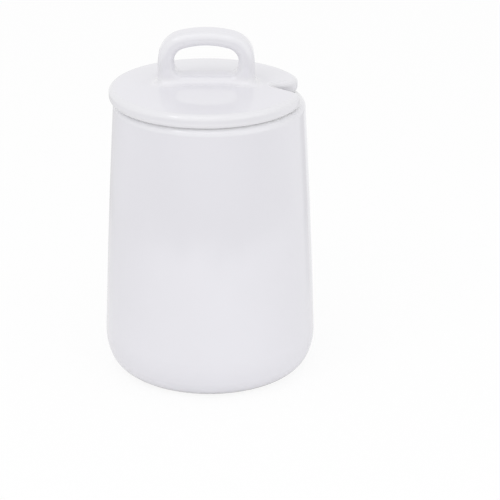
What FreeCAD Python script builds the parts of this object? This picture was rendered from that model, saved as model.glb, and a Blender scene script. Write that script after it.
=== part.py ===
# Glazed ceramic honey pot with a loose lid. The lid carries a loop handle and a notch for a dipper.
# Millimetres, +Z up. The origin is the middle of the pot's foot.
import FreeCAD, Part
import math
import os
import Sketcher

Vector = FreeCAD.Vector

# Driving sizes: name, value, note
SIZES = [
    ("body_height", 121.7, "foot to rim"),
    ("rim_radius", 41.1, "outside of the rim"),
    ("belly_radius", 46.0, "widest point of the body"),
    ("belly_height", 16.6, "height of the widest point"),
    ("wall_arc", 4200.0, "very slight bow of the wall, rim to belly"),
    ("belly_arc", 26.0, "curve from the wall into the belly"),
    ("heel_arc", 12.4, "curve from the belly to the foot"),
    ("foot_radius", 36.5, "outside of the foot ring"),
    ("wall_thickness", 4.2, "wall at the rim"),
    ("floor_thickness", 6.0, "foot to the inside of the floor"),
    ("cavity_radius", 42.2, "inside of the wall, carried down to the floor"),
    ("cavity_corner", 13.0, "inside curve from wall to floor"),
    ("rim_rounding", 3.1, "outer shoulder of the rim"),
    ("mouth_rounding", 0.8, "inner edge of the rim"),
    ("recess_radius", 32.5, "inside of the foot ring"),
    ("recess_depth", 1.6, "hollow inside the foot ring"),
    ("foot_rounding", 0.7, "edge of the foot ring"),
    ("lid_radius", 41.7, "outside of the lid"),
    ("lid_thickness", 5.9, "edge of the lid"),
    ("lid_rise", 2.6, "crown of the lid above its edge"),
    ("lid_offset", -1.2, "play that the loose lid has taken up along X"),
    ("lid_top_rounding", 2.2, "upper edge of the lid and its notch"),
    ("lid_base_rounding", 2.5, "lower edge of the lid and its notch"),
    ("hollow_radius", 26.0, "hollow under the lid"),
    ("hollow_rise", 2.6, "depth of the hollow"),
    ("flange_radius", 35.2, "outside of the locating flange"),
    ("flange_thickness", 3.4, "wall of the flange"),
    ("flange_depth", 6.0, "flange below the lid's seat"),
    ("flange_sweep", 320.0, "degrees that the flange runs round, leaving the notch free"),
    ("flange_rounding", 1.1, "lower edges of the flange"),
    ("notch_end", 2.6, "inner end of the notch"),
    ("notch_reach", 27.7, "lid's axis to the inner end of the notch"),
    ("notch_flare", 25.5, "degrees that each side of the notch opens outwards"),
    ("notch_turn", -2.5, "degrees from the handle's line round to the notch"),
    ("notch_near_corner", 4.0, "corner between the notch and the lid's edge, -Y side"),
    ("notch_far_corner", 10.5, "corner between the notch and the lid's edge, +Y side"),
    ("handle_depth", 11.0, "front to back"),
    ("handle_half", 20.7, "half the width of the loop"),
    ("handle_top", 22.7, "top of the loop above the crown of the lid"),
    ("handle_bottom", -4.0, "bottom of the loop, sunk into the lid"),
    ("handle_side_arc", 40.0, "bow of the loop's sides"),
    ("handle_side_level", 6.0, "where the sides are upright"),
    ("handle_shoulder", 11.7, "upper corners of the loop"),
    ("handle_crown", 48.0, "bow of the loop's top"),
    ("handle_heel", 4.5, "lower corners of the loop"),
    ("grip_half", 13.8, "half the width of the finger hole"),
    ("grip_top", 16.3, "top of the finger hole above the crown of the lid"),
    ("grip_bottom", 3.2, "bottom of the finger hole above the crown of the lid"),
    ("grip_side_arc", 24.0, "bow of the hole's sides"),
    ("grip_side_level", 11.0, "where the hole is widest"),
    ("grip_shoulder", 5.8, "upper corners of the hole"),
    ("grip_crown", 33.6, "bow of the hole's top"),
    ("grip_heel", 3.4, "lower corners of the hole"),
    ("handle_rounding", 2.9, "soft edges of the loop"),
    ("handle_fillet", 2.8, "where the loop grows out of the lid"),
]
size = {name: value for name, value, note in SIZES}


def fill_sheet(doc):
    """One row of the sheet for each driving size."""
    sheet = doc.addObject("Spreadsheet::Sheet", "Sizes")
    for row, (name, value, note) in enumerate(SIZES, start=1):
        sheet.set(f"A{row}", name)
        sheet.set(f"B{row}", str(value))
        sheet.setAlias(f"B{row}", name)
        sheet.set(f"C{row}", note)


def add_body(doc, label):
    body = doc.addObject("PartDesign::Body", label.capitalize())
    body.Label = label
    return body


def add_sketch(body, name, role):
    """A sketch on one of the body's own origin planes."""
    sketch = body.newObject("Sketcher::SketchObject", name)
    plane = next(f for f in body.Origin.OriginFeatures if f.Role == role)
    sketch.AttachmentSupport = [(plane, "")]
    sketch.MapMode = "FlatFace"
    return sketch


def add_feature(body, kind, name, sketch):
    feature = body.newObject(f"PartDesign::{kind}", name)
    feature.Profile = sketch
    return feature


def add_turning(body, kind, name, sketch):
    """A Revolution or Groove all the way round the vertical axis."""
    feature = add_feature(body, kind, name, sketch)
    feature.ReferenceAxis = (sketch, ["V_Axis"])
    feature.Angle = 360.0
    return feature


def round_edges(body, name, wanted, radius):
    """Fillets the edges of the body's latest shape that the test picks out."""
    body.Document.recompute()
    base = body.Tip
    names = [f"Edge{n}" for n, edge in enumerate(base.Shape.Edges, start=1) if wanted(edge)]
    if not names:
        raise ValueError(f"{name}: no edge to round")
    fillet = body.newObject("PartDesign::Fillet", name)
    fillet.Base = (base, names)
    fillet.setExpression("Radius", f"Sizes.{radius}")
    body.Document.recompute()
    return fillet


def line(x0, y0, x1, y1):
    return Part.LineSegment(Vector(x0, y0, 0), Vector(x1, y1, 0))


def arc(centre, radius, start, end):
    """Counter-clockwise arc between two angles in radians."""
    return Part.ArcOfCircle(Part.Circle(centre, Vector(0, 0, 1), radius), start, end)


def mirrored(point):
    return Vector(-point.x, point.y, 0)


def heading(start, end):
    return math.atan2(end.y - start.y, end.x - start.x)


def meeting(centre_a, reach_a, centre_b, reach_b, side=1):
    """The point at both distances from the two centres: right-hand, or left-hand for side -1."""
    span = centre_b.sub(centre_a)
    along = (reach_a**2 - reach_b**2 + span.Length**2) / (2 * span.Length)
    across = math.sqrt(reach_a**2 - along**2)
    unit = Vector(span).normalize()
    foot = centre_a.add(unit * along)
    step = Vector(-unit.y, unit.x, 0) * across
    return max(foot.add(step), foot.sub(step), key=lambda point: side * point.x)


def bind(sketch, name, formula, *constraint):
    """Adds a sized constraint and ties it to the sheet."""
    index = sketch.addConstraint(Sketcher.Constraint(*constraint))
    sketch.renameConstraint(index, name)
    sketch.setExpression(f"Constraints.{name}", formula)


def bind_radius(sketch, geo, name, formula):
    bind(sketch, name, formula, "Radius", geo, sketch.Geometry[geo].Radius)


def bind_point(sketch, geo, pos, name, across=None, up=None):
    """Places a point (1 start, 2 end, 3 centre) from the sketch's origin."""
    point = sketch.getPoint(geo, pos)
    if across:
        bind(sketch, f"{name}_across", across, "DistanceX", -1, 1, geo, pos, point.x)
    if up:
        bind(sketch, f"{name}_up", up, "DistanceY", -1, 1, geo, pos, point.y)


def join_chain(sketch, count, tangent, origin=None):
    """Joins piece after piece, end to start. The pairs in tangent run smoothly on."""
    for geo in range(count):
        following = (geo + 1) % count
        kind = "Tangent" if geo in tangent else "Coincident"
        sketch.addConstraint(Sketcher.Constraint(kind, geo, 2, following, 1))
    if origin is not None:
        sketch.addConstraint(Sketcher.Constraint("Coincident", origin, 1, -1, 1))


def level(sketch, *pieces):
    for geo in pieces:
        sketch.addConstraint(Sketcher.Constraint("Horizontal", geo))


def upright(sketch, *pieces):
    for geo in pieces:
        sketch.addConstraint(Sketcher.Constraint("Vertical", geo))


def draw_body(body):
    """Half section of the outside: foot, heel, belly, leaning and slightly bowed wall, rim and axis."""
    rim = Vector(size["rim_radius"], size["body_height"], 0)
    foot = Vector(size["foot_radius"], 0, 0)
    belly = Vector(size["belly_radius"] - size["belly_arc"], size["belly_height"], 0)
    heel = meeting(belly, size["belly_arc"] - size["heel_arc"], foot, size["heel_arc"])
    wall = meeting(belly, size["wall_arc"] - size["belly_arc"], rim, size["wall_arc"], side=-1)
    wall_angle = heading(wall, belly)
    turn = heading(belly, heel)

    sketch = add_sketch(body, "BodySection", "XZ_Plane")
    sketch.addGeometry(
        [
            line(0, 0, foot.x, 0),
            arc(heel, size["heel_arc"], heading(heel, foot), turn),
            arc(belly, size["belly_arc"], turn, wall_angle),
            arc(wall, size["wall_arc"], wall_angle, heading(wall, rim)),
            line(rim.x, rim.y, 0, rim.y),
            line(0, rim.y, 0, 0),
        ]
    )
    join_chain(sketch, 6, tangent=(1, 2), origin=0)
    level(sketch, 0, 4)
    upright(sketch, 5)
    bind_point(sketch, 0, 2, "foot", across="Sizes.foot_radius")
    bind_radius(sketch, 1, "heel", "Sizes.heel_arc")
    bind_radius(sketch, 2, "belly", "Sizes.belly_arc")
    bind_radius(sketch, 3, "wall", "Sizes.wall_arc")
    bind_point(sketch, 2, 3, "belly_centre", "Sizes.belly_radius - Sizes.belly_arc", "Sizes.belly_height")
    bind_point(sketch, 3, 2, "rim", "Sizes.rim_radius", "Sizes.body_height")
    return sketch


def draw_cavity(body):
    """Half section of the inside: flat floor and a wall that leans as the outside does."""
    mouth = size["rim_radius"] - size["wall_thickness"]
    height = size["body_height"]
    floor = size["floor_thickness"]
    sketch = add_sketch(body, "CavitySection", "XZ_Plane")
    sketch.addGeometry(
        [
            line(0, floor, size["cavity_radius"], floor),
            line(size["cavity_radius"], floor, mouth, height),
            line(mouth, height, 0, height),
            line(0, height, 0, floor),
        ]
    )
    join_chain(sketch, 4, tangent=())
    level(sketch, 0, 2)
    sketch.addConstraint(Sketcher.Constraint("PointOnObject", 0, 1, -2))
    upright(sketch, 3)
    bind_point(sketch, 1, 1, "floor", "Sizes.cavity_radius", "Sizes.floor_thickness")
    bind_point(sketch, 1, 2, "mouth", "Sizes.rim_radius - Sizes.wall_thickness", "Sizes.body_height")
    return sketch


def draw_recess(body):
    """Half section of the shallow hollow inside the foot ring."""
    radius = size["recess_radius"]
    depth = size["recess_depth"]
    sketch = add_sketch(body, "RecessSection", "XZ_Plane")
    sketch.addGeometry(
        [
            line(0, 0, radius, 0),
            line(radius, 0, radius, depth),
            line(radius, depth, 0, depth),
            line(0, depth, 0, 0),
        ]
    )
    join_chain(sketch, 4, tangent=(), origin=0)
    level(sketch, 0, 2)
    upright(sketch, 1, 3)
    bind_point(sketch, 1, 2, "recess", "Sizes.recess_radius", "Sizes.recess_depth")
    return sketch


def make_pot(doc):
    body = add_body(doc, "pot")
    add_turning(body, "Revolution", "BodyTurned", draw_body(body))
    add_turning(body, "Groove", "Cavity", draw_cavity(body))
    add_turning(body, "Groove", "FootRecess", draw_recess(body))

    mouth = size["rim_radius"] - size["wall_thickness"]

    def at_height(edge, height):
        return edge.Closed and all(abs(v.Z - height) < 0.01 for v in edge.Vertexes)

    def beyond_mouth(edge):
        return all(math.hypot(v.X, v.Y) > mouth + 0.5 for v in edge.Vertexes)

    def in_cavity_corner(edge):
        return at_height(edge, size["floor_thickness"])

    def outside_rim(edge):
        return at_height(edge, size["body_height"]) and beyond_mouth(edge)

    def inside_rim(edge):
        return at_height(edge, size["body_height"]) and not beyond_mouth(edge)

    def on_foot(edge):
        return at_height(edge, 0.0)

    round_edges(body, "CavityCorner", in_cavity_corner, "cavity_corner")
    round_edges(body, "RimRounding", outside_rim, "rim_rounding")
    round_edges(body, "MouthRounding", inside_rim, "mouth_rounding")
    round_edges(body, "FootRounding", on_foot, "foot_rounding")
    return body


CROWN = "Sizes.lid_thickness + Sizes.lid_rise"


def draw_loop(body, name, part):
    """Closed outline of the handle's loop, "handle", or of its finger hole, "grip".

    A level bottom, then heel, bowed side, shoulder and bowed top, alike on both sides.
    """
    crown_level = size["lid_thickness"] + size["lid_rise"]
    heel_arc, side_arc, shoulder_arc, top_arc = (
        size[f"{part}_{bend}"] for bend in ("heel", "side_arc", "shoulder", "crown")
    )
    bottom = crown_level + size[f"{part}_bottom"]
    side = Vector(size[f"{part}_half"] - side_arc, crown_level + size[f"{part}_side_level"], 0)
    crown = Vector(0, crown_level + size[f"{part}_top"] - top_arc, 0)
    shoulder = meeting(side, side_arc - shoulder_arc, crown, top_arc - shoulder_arc)
    heel_drop = bottom + heel_arc - side.y
    heel = Vector(side.x + math.sqrt((side_arc - heel_arc) ** 2 - heel_drop**2), bottom + heel_arc, 0)
    low = heading(side, heel)
    high = heading(side, shoulder)
    steep = heading(crown, shoulder)

    sketch = add_sketch(body, name, "XZ_Plane")
    sketch.addGeometry(
        [
            line(-heel.x, bottom, heel.x, bottom),
            arc(heel, heel_arc, -math.pi / 2, low),
            arc(side, side_arc, low, high),
            arc(shoulder, shoulder_arc, high, steep),
            arc(crown, top_arc, steep, math.pi - steep),
            arc(mirrored(shoulder), shoulder_arc, math.pi - steep, math.pi - high),
            arc(mirrored(side), side_arc, math.pi - high, math.pi - low),
            arc(mirrored(heel), heel_arc, math.pi - low, 1.5 * math.pi),
        ]
    )
    join_chain(sketch, 8, tangent=range(8))
    level(sketch, 0)
    for right, left in ((1, 7), (2, 6), (3, 5)):
        sketch.addConstraint(Sketcher.Constraint("Equal", right, left))
    sketch.addConstraint(Sketcher.Constraint("Symmetric", 2, 3, 6, 3, -2))
    sketch.addConstraint(Sketcher.Constraint("PointOnObject", 4, 3, -2))
    bind_radius(sketch, 1, "heel", f"Sizes.{part}_heel")
    bind_radius(sketch, 2, "side", f"Sizes.{part}_side_arc")
    bind_radius(sketch, 3, "shoulder", f"Sizes.{part}_shoulder")
    bind_radius(sketch, 4, "crown", f"Sizes.{part}_crown")
    bind_point(sketch, 0, 1, "bottom", up=f"{CROWN} + Sizes.{part}_bottom")
    side_across = f"Sizes.{part}_half - Sizes.{part}_side_arc"
    bind_point(sketch, 2, 3, "side_centre", side_across, f"{CROWN} + Sizes.{part}_side_level")
    bind_point(sketch, 4, 3, "crown_centre", up=f"{CROWN} + Sizes.{part}_top - Sizes.{part}_crown")
    return sketch


def draw_dome(body, name, radius, edge_level, rise):
    """Half section under a shallow dome: axis, level base, upright edge and bowed top."""
    reach = size[radius]
    low = size[edge_level] if edge_level else 0.0
    top = low + size[rise]
    bow = (reach**2 + size[rise] ** 2) / (2 * size[rise])
    centre = Vector(0, top - bow, 0)
    edge = Vector(reach, low, 0)
    sketch = add_sketch(body, name, "XZ_Plane")
    bowed_top = arc(centre, bow, heading(centre, edge), math.pi / 2)
    pieces = [line(0, 0, reach, 0), bowed_top, line(0, top, 0, 0)]
    if edge_level:
        pieces.insert(1, line(reach, 0, reach, low))
    sketch.addGeometry(pieces)
    bowed = len(pieces) - 2
    join_chain(sketch, len(pieces), tangent=(), origin=0)
    level(sketch, 0)
    sketch.addConstraint(Sketcher.Constraint("PointOnObject", bowed, 3, -2))
    upright(sketch, bowed + 1)
    if edge_level:
        upright(sketch, 1)
        bind_point(sketch, bowed, 1, "edge", f"Sizes.{radius}", f"Sizes.{edge_level}")
        bind_point(sketch, bowed, 2, "top", up=f"Sizes.{edge_level} + Sizes.{rise}")
    else:
        bind_point(sketch, bowed, 1, "edge", f"Sizes.{radius}")
        bind_point(sketch, bowed, 2, "top", up=f"Sizes.{rise}")
    return sketch


def draw_notch(body):
    """Wedge with a round inner end, opening outwards past the lid's edge on the +X side."""
    end = size["notch_end"]
    turn = math.radians(size["notch_turn"])
    flare = math.radians(size["notch_flare"])
    centre = Vector(math.cos(turn), math.sin(turn), 0) * (size["notch_reach"] + end)
    outside = size["lid_radius"] + end
    low, high = turn - flare, turn + flare
    start = centre.add(Vector(math.sin(low), -math.cos(low), 0) * end)
    stop = centre.add(Vector(-math.sin(high), math.cos(high), 0) * end)
    mouth_low = start.y + (outside - start.x) * math.tan(low)
    mouth_high = stop.y + (outside - stop.x) * math.tan(high)

    sketch = add_sketch(body, "NotchOutline", "XY_Plane")
    sketch.addGeometry(
        [
            arc(centre, end, high + math.pi / 2, low + 1.5 * math.pi),
            line(start.x, start.y, outside, mouth_low),
            line(outside, mouth_low, outside, mouth_high),
            line(outside, mouth_high, stop.x, stop.y),
        ]
    )
    join_chain(sketch, 4, tangent=(0, 3))
    upright(sketch, 2)
    bind_radius(sketch, 0, "end", "Sizes.notch_end")
    along = "(Sizes.notch_reach + Sizes.notch_end)"
    turned = "(Sizes.notch_turn * 1 deg)"
    bind_point(sketch, 0, 3, "end_centre", f"{along} * cos{turned}", f"{along} * sin{turned}")
    bind_point(sketch, 1, 2, "mouth", "Sizes.lid_radius + Sizes.notch_end")
    far_side = "(Sizes.notch_turn + Sizes.notch_flare - 180) * 1 deg"
    bind(sketch, "near_side", "(Sizes.notch_turn - Sizes.notch_flare) * 1 deg", "Angle", 1, low)
    bind(sketch, "far_side", far_side, "Angle", 3, high - math.pi)
    return sketch


def draw_flange(body):
    """Section of the locating flange, opposite the notch, let into the lid by its own wall."""
    outer = -size["flange_radius"]
    inner = outer + size["flange_thickness"]
    low = -size["flange_depth"]
    high = size["flange_thickness"]
    sketch = add_sketch(body, "FlangeSection", "XZ_Plane")
    sketch.addGeometry(
        [
            line(outer, low, inner, low),
            line(inner, low, inner, high),
            line(inner, high, outer, high),
            line(outer, high, outer, low),
        ]
    )
    join_chain(sketch, 4, tangent=())
    level(sketch, 0, 2)
    upright(sketch, 1, 3)
    bind_point(sketch, 0, 1, "outer", "-Sizes.flange_radius", "-Sizes.flange_depth")
    inner_across = "Sizes.flange_thickness - Sizes.flange_radius"
    bind_point(sketch, 1, 2, "inner", inner_across, "Sizes.flange_thickness")
    return sketch


def make_lid(doc):
    body = add_body(doc, "lid")
    loop = add_feature(body, "Pad", "Loop", draw_loop(body, "LoopOutline", "handle"))
    loop.SideType = "Symmetric"
    loop.setExpression("Length", "Sizes.handle_depth")
    grip = add_feature(body, "Pocket", "FingerHole", draw_loop(body, "GripOutline", "grip"))
    grip.SideType = "Symmetric"
    grip.Type = "ThroughAll"

    def on_loop_face(edge):
        first, last = (v.Y for v in edge.Vertexes)
        return abs(first - last) < 0.01

    round_edges(body, "LoopRounding", on_loop_face, "handle_rounding")
    disc = draw_dome(body, "DiscSection", "lid_radius", "lid_thickness", "lid_rise")
    add_turning(body, "Revolution", "Disc", disc)

    def reach(vertex):
        return math.hypot(vertex.X, vertex.Y)

    notch = add_feature(body, "Pocket", "Notch", draw_notch(body))
    notch.SideType = "Symmetric"
    notch.Type = "ThroughAll"

    def at_notch_corner(edge):
        ends = edge.Vertexes
        if len(ends) != 2 or abs(ends[0].X - ends[1].X) > 0.01 or abs(ends[0].Z - ends[1].Z) < 1:
            return False
        return ends[0].X > 0 and all(reach(v) > size["lid_radius"] - 0.01 for v in ends)

    def beside_rim(edge):
        return all(reach(v) > size["notch_reach"] for v in edge.Vertexes)

    def on_top_edge(edge):
        return beside_rim(edge) and all(v.Z > size["lid_thickness"] - 0.01 for v in edge.Vertexes)

    def on_base_edge(edge):
        return beside_rim(edge) and all(abs(v.Z) < 0.01 for v in edge.Vertexes)

    def at_near_corner(edge):
        return at_notch_corner(edge) and edge.Vertexes[0].Y < 0

    def at_far_corner(edge):
        return at_notch_corner(edge) and edge.Vertexes[0].Y > 0

    round_edges(body, "NearCorner", at_near_corner, "notch_near_corner")
    round_edges(body, "FarCorner", at_far_corner, "notch_far_corner")
    round_edges(body, "TopRounding", on_top_edge, "lid_top_rounding")
    round_edges(body, "BaseRounding", on_base_edge, "lid_base_rounding")

    hollow = draw_dome(body, "HollowSection", "hollow_radius", None, "hollow_rise")
    add_turning(body, "Groove", "Hollow", hollow)
    flange = add_turning(body, "Revolution", "Flange", draw_flange(body))
    flange.Midplane = True
    flange.setExpression("Angle", "Sizes.flange_sweep")

    def under_flange(edge):
        return all(abs(v.Z + size["flange_depth"]) < 0.01 for v in edge.Vertexes)

    round_edges(body, "FlangeRounding", under_flange, "flange_rounding")

    def at_loop_foot(edge):
        level_of_crown = size["lid_thickness"] + size["lid_rise"]
        in_plan = all(reach(v) < size["handle_half"] + size["handle_depth"] / 2 for v in edge.Vertexes)
        return in_plan and all(size["lid_thickness"] < v.Z < level_of_crown for v in edge.Vertexes)

    round_edges(body, "LoopFoot", at_loop_foot, "handle_fillet")
    body.setExpression("Placement.Base.x", "Sizes.lid_offset")
    body.setExpression("Placement.Base.z", "Sizes.body_height")
    return body


def check_document(doc):
    for item in doc.Objects:
        if "Invalid" in item.State or "Error" in item.State:
            raise RuntimeError(f"{item.Label} failed: {item.State}")


def check_removal(body):
    """Every pocket and groove has to take material away."""
    before = None
    for feature in body.Group:
        if not feature.isDerivedFrom("PartDesign::Feature"):
            continue
        cuts = feature.TypeId in ("PartDesign::Pocket", "PartDesign::Groove")
        if cuts and feature.Shape.Volume > before - 1.0:
            raise RuntimeError(f"{feature.Label} cuts nothing")
        before = feature.Shape.Volume


def main():
    doc = FreeCAD.newDocument("HoneyPot")
    fill_sheet(doc)
    doc.recompute()
    bodies = [make_pot(doc), make_lid(doc)]
    doc.recompute()
    check_document(doc)
    os.makedirs("parts", exist_ok=True)
    for body in bodies:
        shape = body.Shape
        if shape.isNull() or not shape.isValid() or len(shape.Solids) != 1:
            raise RuntimeError(f"{body.Label} is not one valid solid")
        check_removal(body)
        shape.exportStep(f"parts/{body.Label}.step")
        print(body.Label, f"{shape.Volume / 1000:.1f} cm3", shape.BoundBox)


main()
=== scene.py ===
import math
import bpy
from mathutils import Matrix, Vector

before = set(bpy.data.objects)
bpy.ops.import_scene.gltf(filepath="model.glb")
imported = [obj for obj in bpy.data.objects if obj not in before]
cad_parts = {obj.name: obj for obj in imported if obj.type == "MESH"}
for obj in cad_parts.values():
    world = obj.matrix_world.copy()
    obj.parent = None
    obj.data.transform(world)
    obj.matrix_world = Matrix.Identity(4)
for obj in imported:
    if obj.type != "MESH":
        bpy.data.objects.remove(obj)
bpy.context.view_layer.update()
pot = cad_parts["pot"]
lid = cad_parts["lid"]
print("frame loaded:", ", ".join(sorted(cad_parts)))


# A socket of a node tree. Sums on it add Math nodes, and the other methods add nodes of their kind.
class Signal:
    def __init__(self, tree, socket=None):
        self.tree = tree
        self.socket = socket

    def feed(self, socket, value):
        if isinstance(value, Signal):
            self.tree.links.new(value.socket, socket)
        else:
            socket.default_value = value

    def node(self, kind, settings=None, inputs=None, output=0):
        made = self.tree.nodes.new("ShaderNode" + kind)
        for name, value in (settings or {}).items():
            setattr(made, name, value)
        for name, value in (inputs or {}).items():
            self.feed(made.inputs[name], value)
        return Signal(self.tree, made.outputs[output]) if made.outputs else None

    def calc(self, operation, *values):
        return self.node("Math", {"operation": operation}, dict(enumerate(values)))

    def __add__(self, other):
        return self.calc("ADD", self, other)

    __radd__ = __add__

    def __sub__(self, other):
        return self.calc("SUBTRACT", self, other)

    def __rsub__(self, other):
        return self.calc("SUBTRACT", other, self)

    def __mul__(self, other):
        return self.calc("MULTIPLY", self, other)

    __rmul__ = __mul__

    # goes from low to high while the value goes from begin to end, and no further
    def span(self, value, begin, end, low=0.0, high=1.0, course="LINEAR"):
        sockets = {"Value": value, "From Min": begin, "From Max": end, "To Min": low, "To Max": high}
        return self.node("MapRange", {"interpolation_type": course}, sockets)

    # greys at given places between 0 and 1
    def ramp(self, value, stops):
        made = self.tree.nodes.new("ShaderNodeValToRGB")
        marks = made.color_ramp.elements
        while len(marks) < len(stops):
            marks.new(1.0)
        for mark, (place, shade) in zip(marks, stops):
            mark.position = place
            mark.color = (shade, shade, shade, 1.0)
        self.feed(made.inputs["Fac"], value)
        return Signal(self.tree, made.outputs["Color"])

    def noise(self, place, scale, detail):
        return self.node("TexNoise", inputs={"Vector": place, "Scale": scale, "Detail": detail})

    def blend(self, share, under, over):
        return self.node("Mix", {"data_type": "RGBA"}, {"Factor": share, 6: under, 7: over}, output=2)

    # 1 in the open, less where the surface meets another one within reach
    # Turned inside, it is less on rounded edges instead.
    def openness(self, reach, rays, inside=False):
        return self.node(
            "AmbientOcclusion", {"inside": inside, "samples": rays}, {"Distance": reach}, output="AO"
        )

    def axis(self, place, name):
        return self.node("SeparateXYZ", inputs={"Vector": place}, output=name)


def newMaterial(name):
    material = bpy.data.materials.new(name)
    material.use_nodes = True
    material.node_tree.nodes.clear()
    return material, Signal(material.node_tree)


def dress(piece, material):
    piece.data.materials.clear()
    piece.data.materials.append(material)


glazeLook = {
    "white": (0.795, 0.788, 0.830, 1.0),
    "thin": (0.780, 0.772, 0.812, 1.0),
    "edge": (0.802, 0.803, 0.812, 1.0),
    # painted light: a brighter white painted where shade falls in the gap under the lid and the handle's
    # foot corners
    "paintedCreviceLight": (0.900, 0.898, 0.905, 1.0),
    "clay": (0.74, 0.71, 0.66, 1.0),
    "gloss": 0.08,
    "glossSpread": 0.03,
    "clayRough": 0.55,  # on top of the gloss
    "bend": 1.55,  # how strongly the glaze bends light
    "clouds": (16.0, 3.0),  # scale and detail, as in the next two lines
    "swell": (55.0, 1.0),
    "speckle": (900.0, 2.0),
    "cloudStops": ((0.35, 0.0), (0.65, 1.0)),
    "swellDepth": 0.00006,
    "rays": 8,
    "edgeReach": 0.0030,
    "edgeOpen": (0.98, 0.75),  # openness where the edge's glaze begins and where it is full
    "gapReach": 0.0014,
    "gapOpen": (0.62, 0.20),
    "cornerReach": 0.0050,
    "cornerOpen": (0.96, 0.66),
    "lidTop": 0.1268,  # the corners round the handle's foot lie above this
    "lidTopFade": 0.0012,
    "clayWander": 0.0004,
    "clayFade": 0.0004,
}

# The glaze ends this high above the table. The lid is glazed all over.
glazeEnds = {"pot": 0.0011, "lid": -1.0}


# Cool white glaze, pooled unevenly and drawn thin over rounded edges. Painted light: the gap under the lid
# and the corners round the handle's foot are painted a brighter white to lift the shade there. The pale clay
# under the glaze stays bare on the foot ring.
def makeGlaze(name, look, bareBelow):
    material, start = newMaterial(name)
    place = start.node("TexCoord", output="Object")
    clouds = start.noise(place, *look["clouds"])
    swell = start.noise(place, *look["swell"])
    speckle = start.noise(place, *look["speckle"])
    height = start.axis(place, "Z")

    glaze = start.blend(start.ramp(clouds, look["cloudStops"]), look["thin"], look["white"])
    onEdge = start.span(start.openness(look["edgeReach"], look["rays"], inside=True), *look["edgeOpen"])
    glaze = start.blend(onEdge, glaze, look["edge"])
    # Painted light: the gap under the lid and the corners round the handle's foot get a brighter white to
    # lift the shade there.
    inGap = start.span(start.openness(look["gapReach"], look["rays"]), *look["gapOpen"])
    inCorner = start.span(start.openness(look["cornerReach"], look["rays"]), *look["cornerOpen"])
    onTop = start.span(height, look["lidTop"], look["lidTop"] + look["lidTopFade"])
    glaze = start.blend(start.calc("MAXIMUM", inGap, inCorner * onTop), glaze, look["paintedCreviceLight"])

    glazeLine = height + (clouds - 0.5) * look["clayWander"]
    bare = start.span(glazeLine, bareBelow, bareBelow - look["clayFade"], course="SMOOTHSTEP")
    colour = start.blend(bare, glaze, look["clay"])
    rough = look["gloss"] + (speckle - 0.5) * look["glossSpread"] + bare * look["clayRough"]
    relief = start.node("Bump", inputs={"Strength": 1.0, "Distance": look["swellDepth"], "Height": swell})
    shader = start.node(
        "BsdfPrincipled",
        inputs={"Base Color": colour, "Roughness": rough, "Normal": relief, "IOR": look["bend"]},
    )
    start.node("OutputMaterial", inputs={"Surface": shader})
    return material


dress(pot, makeGlaze("potGlaze", glazeLook, glazeEnds["pot"]))
dress(lid, makeGlaze("lidGlaze", glazeLook, glazeEnds["lid"]))
print("glaze on pot and lid")


studio = {
    "floorHalf": 0.60,
    "floorWhite": 0.97,
    "seenGlow": 0.88,  # the rest of the floor's look is lamplight and shadow
    "mirroredGlow": 0.25,
    "sheetReach": 0.22,  # past this the floor is painted dimmer in the glaze's mirror only, a painted reflection
    "sheetFade": 0.08,
    "sheetEdge": (9.0, 2.0),  # scale and detail
    "sheetWander": 0.14,
    # Painted reflection: for mirrored rays past the sheet, the floor is painted from dim at the front to
    # bright at the back.
    "mirrorDimFrom": -0.25,
    "mirrorDimTo": 0.10,
    "mirrorDimFront": 0.10,  # how bright, here and in the next line
    "mirrorDimBack": 1.0,
    # Painted reflection: the floor, seen only in the glaze's mirror, is painted darker at these bearings:
    # degrees from straight behind, seen from the pot's side, and how dark.
    "mirrorShadeBearings": ((-130, 0.0), (-95, 0.26), (-6, 0.26), (0, 0.0), (25, 0.0), (30, 0.37), (40, 0.37), (47, 0.0)),
    "mirrorShadeNear": 0.10,
    "mirrorShadeFar": 0.24,
    "mirrorShadeLeast": 0.1,
    "sideX": 0.0435,
    "sideY": -0.015,
    "daylight": 0.830,
}

# place, width, height and watts
softboxes = {
    "keyBox": ((-0.20, -0.78, 1.20), 1.3, 1.3, 3.6),
    "fillBox": ((0.75, -0.60, 0.45), 0.8, 0.8, 0.65),
    "sparkBox": ((-0.46, -0.52, 0.78), 0.20, 0.20, 0.35),
}
lampAim = (0, 0, 0.08)


# Painted reflection: how much darker the floor is painted for mirrored rays, 0 to 1, at each point of the
# floor.
def paintMirrorShade(start, place, look):
    across = start.axis(place, "X")
    aside = start.calc("ABSOLUTE", across) - look["sideX"]
    behind = start.axis(place, "Y") - look["sideY"]
    bearing = start.calc("ARCTAN2", aside, behind) * start.calc("SIGN", across)
    stops = tuple((degrees / 360 + 0.5, shade) for degrees, shade in look["mirrorShadeBearings"])
    return start.ramp(bearing * (0.5 / math.pi) + 0.5, stops)
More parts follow.
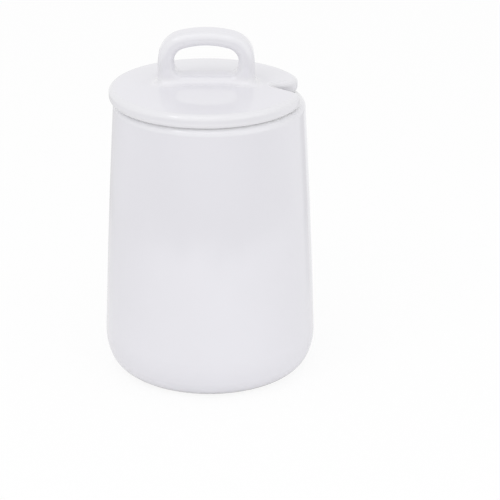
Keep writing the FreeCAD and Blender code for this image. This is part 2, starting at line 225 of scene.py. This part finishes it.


# Seen straight on, the floor is a white sheet that still takes the pot's shadow. The glaze mirrors the
# sheet;
# past it, and by bearing round the pot, the floor is painted darker for mirrored rays only, a painted
# reflection.
def makeFloor(look):
    half = look["floorHalf"]
    mesh = bpy.data.meshes.new("floor")
    corners = [(-half, -half, 0), (half, -half, 0), (half, half, 0), (-half, half, 0)]
    mesh.from_pydata(corners, [], [(0, 1, 2, 3)])
    floor = bpy.data.objects.new("floor", mesh)
    bpy.context.scene.collection.objects.link(floor)

    material, start = newMaterial("floorSheet")
    white = look["floorWhite"]
    straight = start.node("LightPath", output="Is Camera Ray")
    mirrored = start.node("LightPath", output="Is Glossy Ray")
    through = start.node("LightPath", output="Is Transmission Ray")
    place = start.node("TexCoord", output="Object")
    wander = (start.noise(place, *look["sheetEdge"]) - 0.5) * look["sheetWander"]
    reach = start.node("VectorMath", {"operation": "LENGTH"}, {0: place}, output="Value") + wander

    sheetEnd = look["sheetReach"] + look["sheetFade"]
    # Painted reflection: past the sheet, mirrored rays see the floor's glow painted dimmer towards the
    # front.
    offSheet = mirrored * start.span(reach, look["sheetReach"], sheetEnd, course="SMOOTHSTEP")
    mirrorDimEnds = (look["mirrorDimFrom"], look["mirrorDimTo"], look["mirrorDimFront"], look["mirrorDimBack"])
    mirrorBright = start.span(start.axis(place, "Y"), *mirrorDimEnds)
    sheet = start.node("BsdfDiffuse", inputs={"Color": (white, white, white, 1.0)})
    strength = 1.0 - offSheet * (1.0 - mirrorBright)
    glow = start.node("Emission", inputs={"Color": (1.0, 1.0, 1.0, 1.0), "Strength": strength})
    share = (straight + through) * look["seenGlow"] + mirrored * look["mirroredGlow"]
    share = share + offSheet * (1.0 - look["mirroredGlow"])
    surface = start.node("MixShader", inputs={"Fac": share, 1: sheet, 2: glow})

    # Painted reflection: dark bands painted into the floor for mirrored rays only, fading out near the pot.
    far = start.span(reach, look["mirrorShadeNear"], look["mirrorShadeFar"], look["mirrorShadeLeast"])
    shade = paintMirrorShade(start, place, look) * far * mirrored
    dark = start.node("Emission", inputs={"Strength": 0.0})
    surface = start.node("MixShader", inputs={"Fac": shade, 1: surface, 2: dark})
    start.node("OutputMaterial", inputs={"Surface": surface})
    dress(floor, material)


# White to the eye and in the glaze, a little dimmer as the light that falls on things.
def lightWorld(look):
    world = bpy.data.worlds.new("studioAir")
    bpy.context.scene.world = world
    world.use_nodes = True
    world.node_tree.nodes.clear()
    start = Signal(world.node_tree)
    shown = start.node("LightPath", output="Is Camera Ray")
    shown = shown + start.node("LightPath", output="Is Glossy Ray")
    shown = shown + start.node("LightPath", output="Is Transmission Ray")
    strength = look["daylight"] + shown * (1.0 - look["daylight"])
    air = start.node("Background", inputs={"Color": (1.0, 1.0, 1.0, 1.0), "Strength": strength})
    start.node("OutputWorld", inputs={"Surface": air})


def addSoftbox(name, place, width, height, power):
    lamp = bpy.data.lights.new(name, "AREA")
    lamp.shape = "RECTANGLE"
    lamp.size = width
    lamp.size_y = height
    lamp.energy = power
    box = bpy.data.objects.new(name, lamp)
    box.location = place
    box.rotation_euler = (Vector(lampAim) - Vector(place)).to_track_quat("-Z", "Y").to_euler()
    box.visible_camera = False
    bpy.context.scene.collection.objects.link(box)


makeFloor(studio)
lightWorld(studio)
for boxName, setting in softboxes.items():
    addSoftbox(boxName, *setting)
print("studio lit")


cameraSetup = {
    "place": (0.0176, -0.92914, 0.42215),
    "down": 21.7,
    "roll": 0.2,
    "lens": 164.1,
    "sensor": 36.0,
    "near": 0.05,
    "far": 20.0,
}


def addCamera(setup):
    data = bpy.data.cameras.new("camera")
    data.lens = setup["lens"]
    data.sensor_width = setup["sensor"]
    data.clip_start = setup["near"]
    data.clip_end = setup["far"]
    camera = bpy.data.objects.new("camera", data)
    tilt = Matrix.Rotation(math.radians(90 - setup["down"]), 4, "X")
    turn = Matrix.Rotation(math.radians(setup["roll"]), 4, "Z")
    camera.matrix_world = Matrix.Translation(setup["place"]) @ tilt @ turn
    bpy.context.scene.collection.objects.link(camera)
    bpy.context.scene.camera = camera


addCamera(cameraSetup)
bpy.context.scene.view_settings.view_transform = "Standard"
print("camera set")
